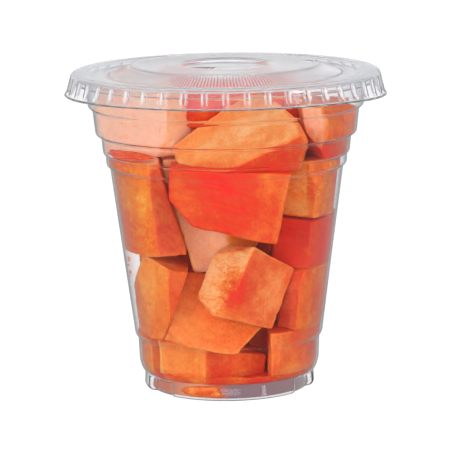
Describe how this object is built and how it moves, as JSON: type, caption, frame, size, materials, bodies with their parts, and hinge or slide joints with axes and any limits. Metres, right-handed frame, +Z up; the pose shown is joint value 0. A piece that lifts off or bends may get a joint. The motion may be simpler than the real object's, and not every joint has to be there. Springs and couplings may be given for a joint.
{
  "type": "diced papaya in a lidded clear cup",
  "caption": "Diced ripe papaya filling a clear tapered take-away cup that is shut by a flat push-on lid with a crimped skirt.",
  "frame": {"origin": "middle of the cup's foot ring, on the surface that the cup stands on", "axes": "+Z up along the cup's axis, -Y the front shown in the picture, +X to the right of that view"},
  "size_m": [0.1016, 0.1016, 0.103],
  "materials": {
    "clear_cup": "clear glossy thin-walled plastic",
    "clear_lid": "clear glossy thin-walled plastic, faintly grey",
    "papaya_flesh": "moist cut fruit, peach and orange-yellow near the peel, salmon-red towards the seed hollow"
  },
  "bodies": {
    "root": {"cup": "clear_cup", "lid": "clear_lid", "papaya_front_slab": "papaya_flesh", "papaya_top_front": "papaya_flesh", "papaya_top_left": "papaya_flesh", "papaya_left_high": "papaya_flesh", "papaya_left_low": "papaya_flesh", "papaya_low_front": "papaya_flesh", "papaya_middle_front": "papaya_flesh", "papaya_front_wedge": "papaya_flesh", "papaya_floor_front": "papaya_flesh", "papaya_top_right": "papaya_flesh", "papaya_right_high": "papaya_flesh", "papaya_right_middle": "papaya_flesh", "papaya_right_low": "papaya_flesh", "papaya_floor_right": "papaya_flesh", "papaya_floor_left": "papaya_flesh", "papaya_top_middle": "papaya_flesh", "papaya_inner_1_1": "papaya_flesh", "papaya_inner_1_2": "papaya_flesh", "papaya_inner_1_3": "papaya_flesh", "papaya_inner_2_1": "papaya_flesh", "papaya_inner_2_2": "papaya_flesh", "papaya_inner_2_3": "papaya_flesh", "papaya_inner_3_1": "papaya_flesh", "papaya_inner_3_2": "papaya_flesh", "papaya_inner_3_3": "papaya_flesh", "papaya_inner_4_1": "papaya_flesh", "papaya_inner_4_2": "papaya_flesh", "papaya_inner_4_3": "papaya_flesh", "papaya_inner_5_1": "papaya_flesh", "papaya_inner_5_2": "papaya_flesh", "papaya_inner_5_3": "papaya_flesh", "papaya_inner_6_1": "papaya_flesh", "papaya_inner_7_1": "papaya_flesh", "papaya_inner_8_1": "papaya_flesh"}
  },
  "joints": []
}
